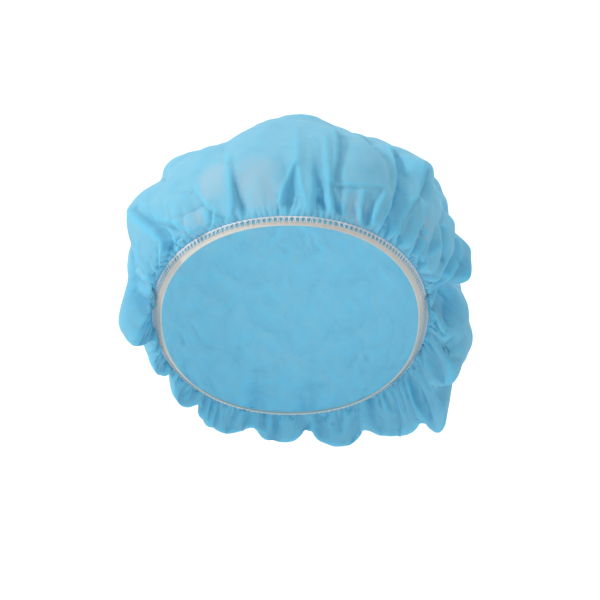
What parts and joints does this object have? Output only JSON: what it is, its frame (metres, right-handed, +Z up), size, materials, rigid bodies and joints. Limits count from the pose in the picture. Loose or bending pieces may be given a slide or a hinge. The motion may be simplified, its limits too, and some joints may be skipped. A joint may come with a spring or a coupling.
{
  "type": "disposable bouffant cap",
  "caption": "Disposable bouffant cap in its worn form: a puffy gathered crown of pale blue nonwoven cloth on a white elastic band, high at the forehead, low at the nape and open below.",
  "frame": {"origin": "the centre of the opening that the elastic band forms round the head", "axes": "+Z up as worn, the forehead towards -Y and the nape towards +Y, +X to the right of someone who looks at the forehead"},
  "size_m": [0.2121, 0.2368, 0.2047],
  "materials": {
    "crown": "matte spunbond nonwoven, pale blue",
    "elastic_band": "matte knitted elastic, off-white"
  },
  "bodies": {
    "root": {"crown": "crown", "elastic_band": "elastic_band"}
  },
  "joints": []
}
